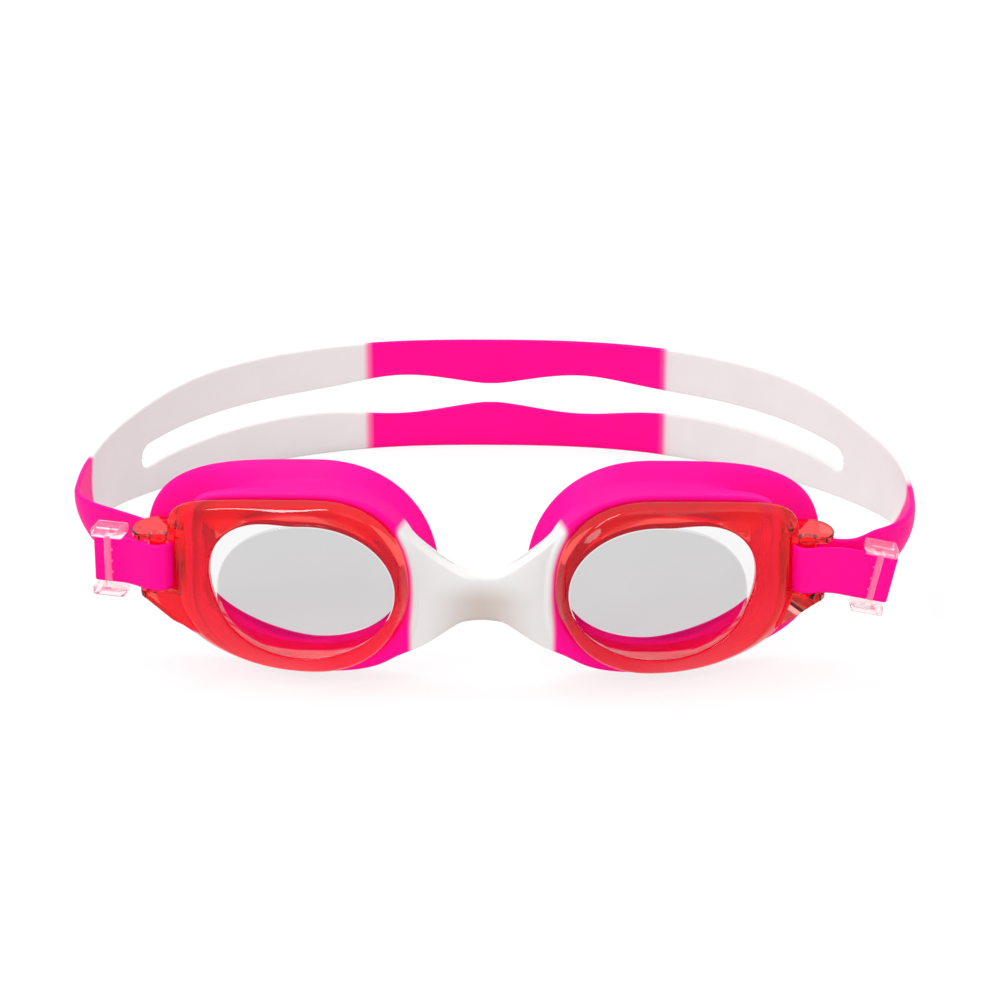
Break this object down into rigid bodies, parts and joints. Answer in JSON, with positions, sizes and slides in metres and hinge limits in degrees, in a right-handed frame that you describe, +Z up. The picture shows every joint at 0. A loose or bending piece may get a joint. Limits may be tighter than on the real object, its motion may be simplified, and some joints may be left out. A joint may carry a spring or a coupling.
{
  "type": "swimming goggles",
  "caption": "Swimming goggles with oval lenses in tinted hard frames, soft gaskets joined by a flexible nose bridge, and a split strap with slide clips at the temples",
  "frame": {"origin": "middle of the footprint, on the surface that the goggles stand on", "axes": "+X across the face to the wearer's left eye, +Y back from the lenses to the rear of the strap, +Z up"},
  "size_m": [0.185, 0.1433, 0.0451],
  "materials": {
    "pink_silicone": "satin moulded silicone",
    "white_silicone": "satin moulded silicone",
    "coral_plastic": "polished see-through tinted polycarbonate",
    "smoke_lens": "polished clear polycarbonate with a light smoke tint",
    "clear_plastic": "clear moulded plastic"
  },
  "bodies": {
    "bridge": {"nose_bridge": "white_silicone", "strap_arm_left": "white_silicone", "strap_arm_right": "white_silicone"},
    "left_cup": {"gasket_left": "pink_silicone", "lens_frame_left": "coral_plastic", "lens_left": "smoke_lens", "strap_end_left": "pink_silicone"},
    "right_cup": {"gasket_right": "pink_silicone", "lens_frame_right": "coral_plastic", "lens_right": "smoke_lens", "strap_end_right": "pink_silicone"},
    "upper_band": {"upper_side_left": "white_silicone", "upper_back": "pink_silicone", "upper_side_right": "white_silicone"},
    "lower_band": {"lower_side_left": "white_silicone", "lower_back": "pink_silicone", "lower_side_right": "white_silicone"},
    "left_clip": {"strap_clip_left": "clear_plastic"},
    "right_clip": {"strap_clip_right": "clear_plastic"}
  },
  "joints": [
    {"name": "left_cup_flex", "type": "hinge", "parent": "bridge", "child": "left_cup", "pos_m": [-0.0102, -0.06194, 0.0206], "axis": [0, 0, -1], "range_deg": [-8, 12], "stiffness_Nm_per_rad": 0.04, "deforming": ["strap_arm_left"]},
    {"name": "right_cup_flex", "type": "hinge", "parent": "bridge", "child": "right_cup", "pos_m": [0.0102, -0.06194, 0.0206], "axis": [0, 0, 1], "range_deg": [-8, 12], "stiffness_Nm_per_rad": 0.04, "deforming": ["strap_arm_right"]},
    {"name": "upper_band_lift", "type": "hinge", "parent": "bridge", "child": "upper_band", "pos_m": [0, 0.03534, 0.02696], "axis": [1, 0, 0], "range_deg": [0, 25], "stiffness_Nm_per_rad": 0.02},
    {"name": "lower_band_drop", "type": "hinge", "parent": "bridge", "child": "lower_band", "pos_m": [0, 0.03534, 0.0033], "axis": [-1, 0, 0], "range_deg": [0, 25], "stiffness_Nm_per_rad": 0.02},
    {"name": "left_clip_slide", "type": "slide", "parent": "left_cup", "child": "left_clip", "axis": [-0.9703, 0.2419, 0], "range_m": [-0.0005, 0.002]},
    {"name": "right_clip_slide", "type": "slide", "parent": "right_cup", "child": "right_clip", "axis": [0.9776, 0.0341, -0.2079], "range_m": [-0.0035, 0.0035]}
  ]
}
